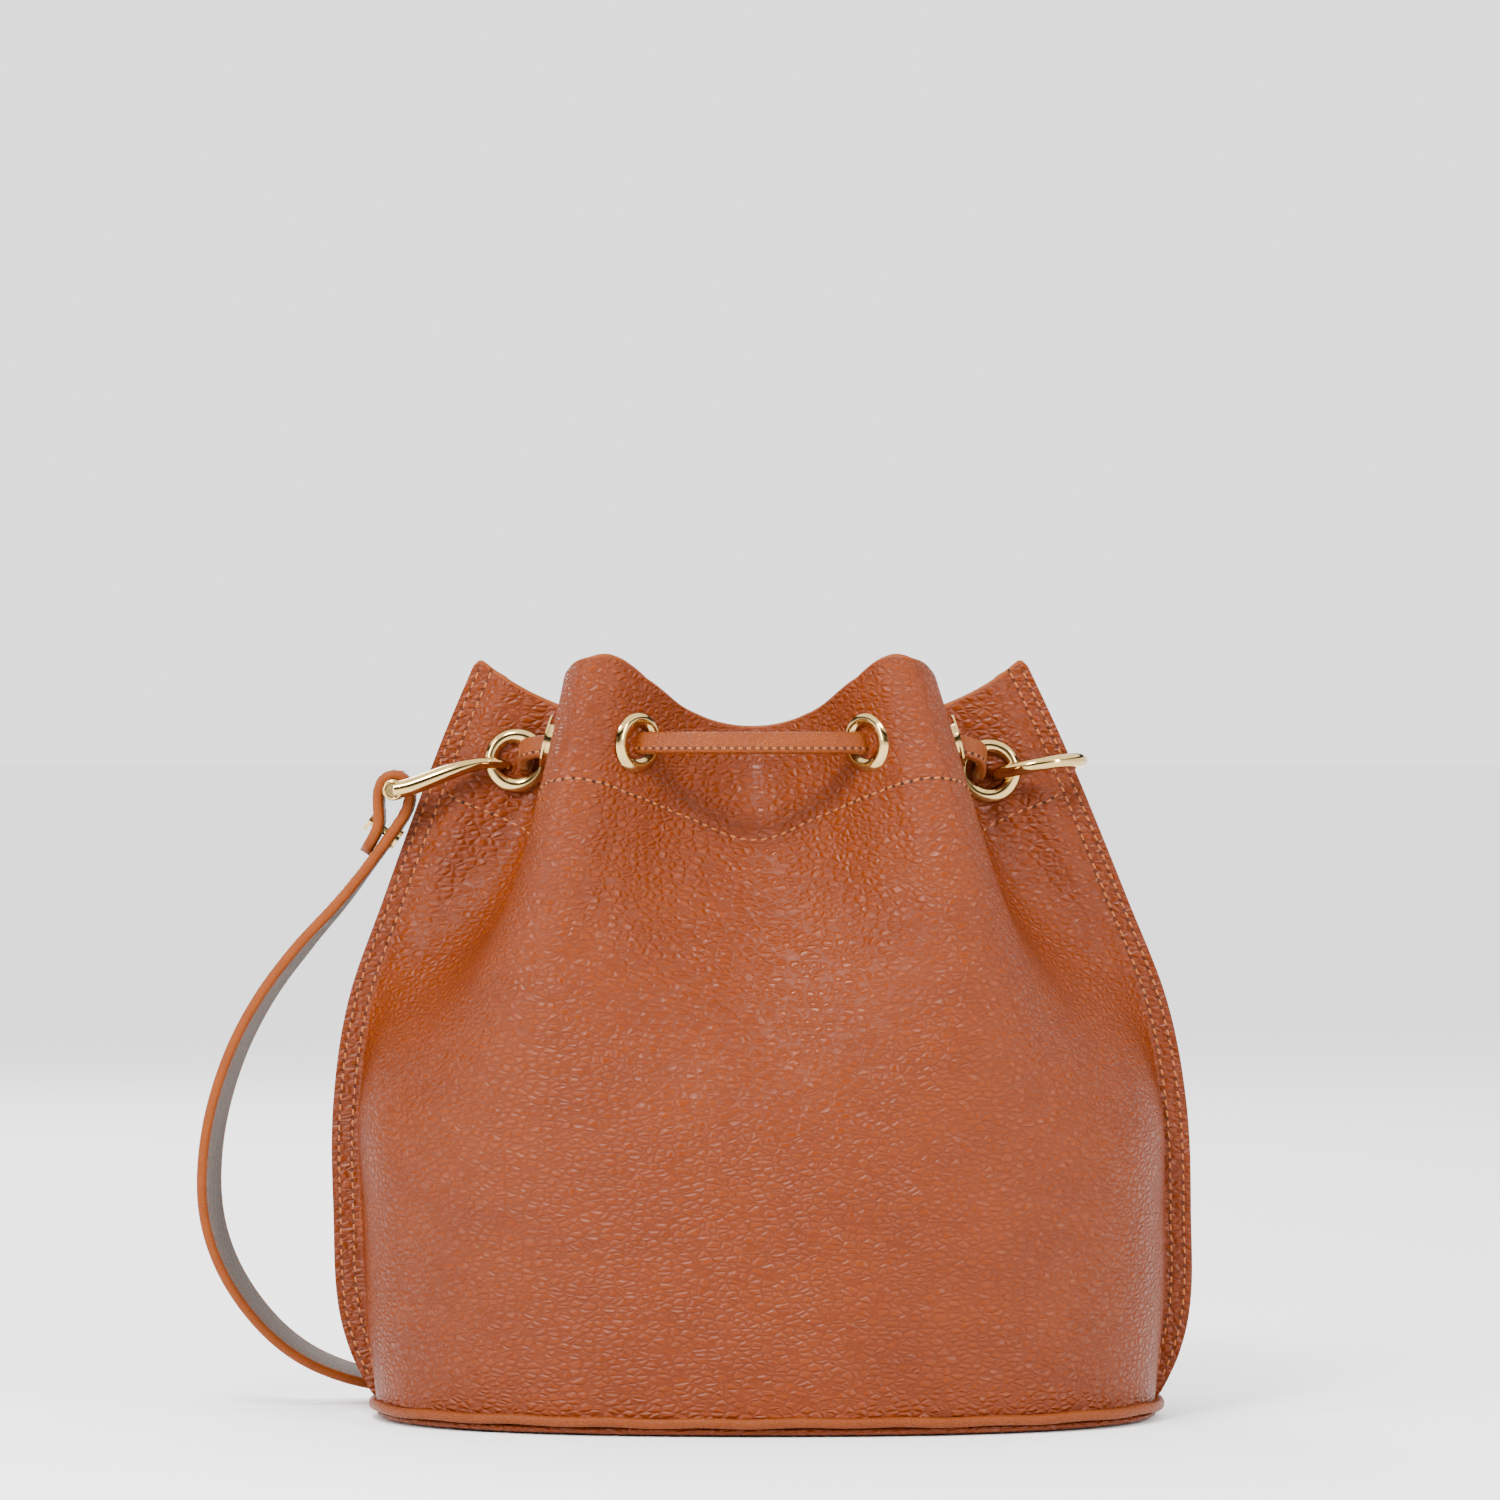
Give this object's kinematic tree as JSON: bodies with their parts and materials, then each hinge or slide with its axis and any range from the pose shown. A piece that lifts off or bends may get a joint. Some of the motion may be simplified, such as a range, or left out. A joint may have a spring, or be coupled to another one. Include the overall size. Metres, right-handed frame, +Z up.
{
  "type": "drawstring bucket bag",
  "caption": "Drawstring bucket bag in pebbled tan leather, drawn shut, with eyelets, a shackle, a ring and a shoulder strap.",
  "frame": {"origin": "middle of the base, on the surface that the bag stands on", "axes": "+Z up, +X along the bag's length towards the ring, -Y the plain front, +Y the side with the drawstring's slider"},
  "size_m": [0.2899, 0.1532, 0.22],
  "materials": {
    "leather": "pebble grain, semi-matte",
    "leather_smooth": "smooth painted edges",
    "cloth": "woven lining",
    "board": "matte stiffener board",
    "gold": "polished pale gold plating"
  },
  "bodies": {
    "bag": {"front_panel": "leather", "back_panel": "leather", "front_facing": "leather_smooth", "back_facing": "leather_smooth", "front_lining": "cloth", "back_lining": "cloth", "inner_pocket": "cloth", "base_panel": "leather", "base_welt": "leather_smooth", "base_stiffener": "board", "base_lining": "cloth", "eyelet_front_left_wing": "gold", "eyelet_front_left_pleat": "gold", "eyelet_front_left_centre": "gold", "eyelet_front_right_wing": "gold", "eyelet_front_right_pleat": "gold", "eyelet_front_right_centre": "gold", "eyelet_back_left_wing": "gold", "eyelet_back_left_pleat": "gold", "eyelet_back_left_centre": "gold", "eyelet_back_right_wing": "gold", "eyelet_back_right_pleat": "gold", "eyelet_back_right_centre": "gold", "eyelet_washers_front": "gold", "eyelet_washers_back": "gold", "drawstring": "leather_smooth", "drawstring_tip_left": "leather_smooth", "drawstring_tip_right": "leather_smooth", "strap": "leather_smooth"},
    "left_shackle": {"left_shackle": "gold", "strap_loop_left": "leather_smooth", "strap_rivet_left": "gold"},
    "shackle_pin": {"shackle_pin": "gold"},
    "right_ring": {"right_ring": "gold", "strap_loop_right": "leather_smooth", "strap_rivet_right": "gold"},
    "slider": {"cord_slider": "leather_smooth"}
  },
  "joints": [
    {"name": "shackle_swing", "type": "hinge", "parent": "bag", "child": "left_shackle", "pos_m": [-0.07416, 0, 0.1874], "axis": [0, 1, 0], "range_deg": [0, 50], "deforming": ["strap"]},
    {"name": "pin_turn", "type": "hinge", "parent": "left_shackle", "child": "shackle_pin", "pos_m": [-0.108, 0, 0.1814], "axis": [0, 1, 0], "continuous": true},
    {"name": "ring_swing", "type": "hinge", "parent": "bag", "child": "right_ring", "pos_m": [0.0657, 0, 0.1851], "axis": [0, -1, 0], "range_deg": [-1.5, 26], "deforming": ["strap"]},
    {"name": "slider_slide", "type": "slide", "parent": "bag", "child": "slider", "axis": [0.0208, 0.2262, -0.9738], "range_m": [0, 0.04]}
  ]
}
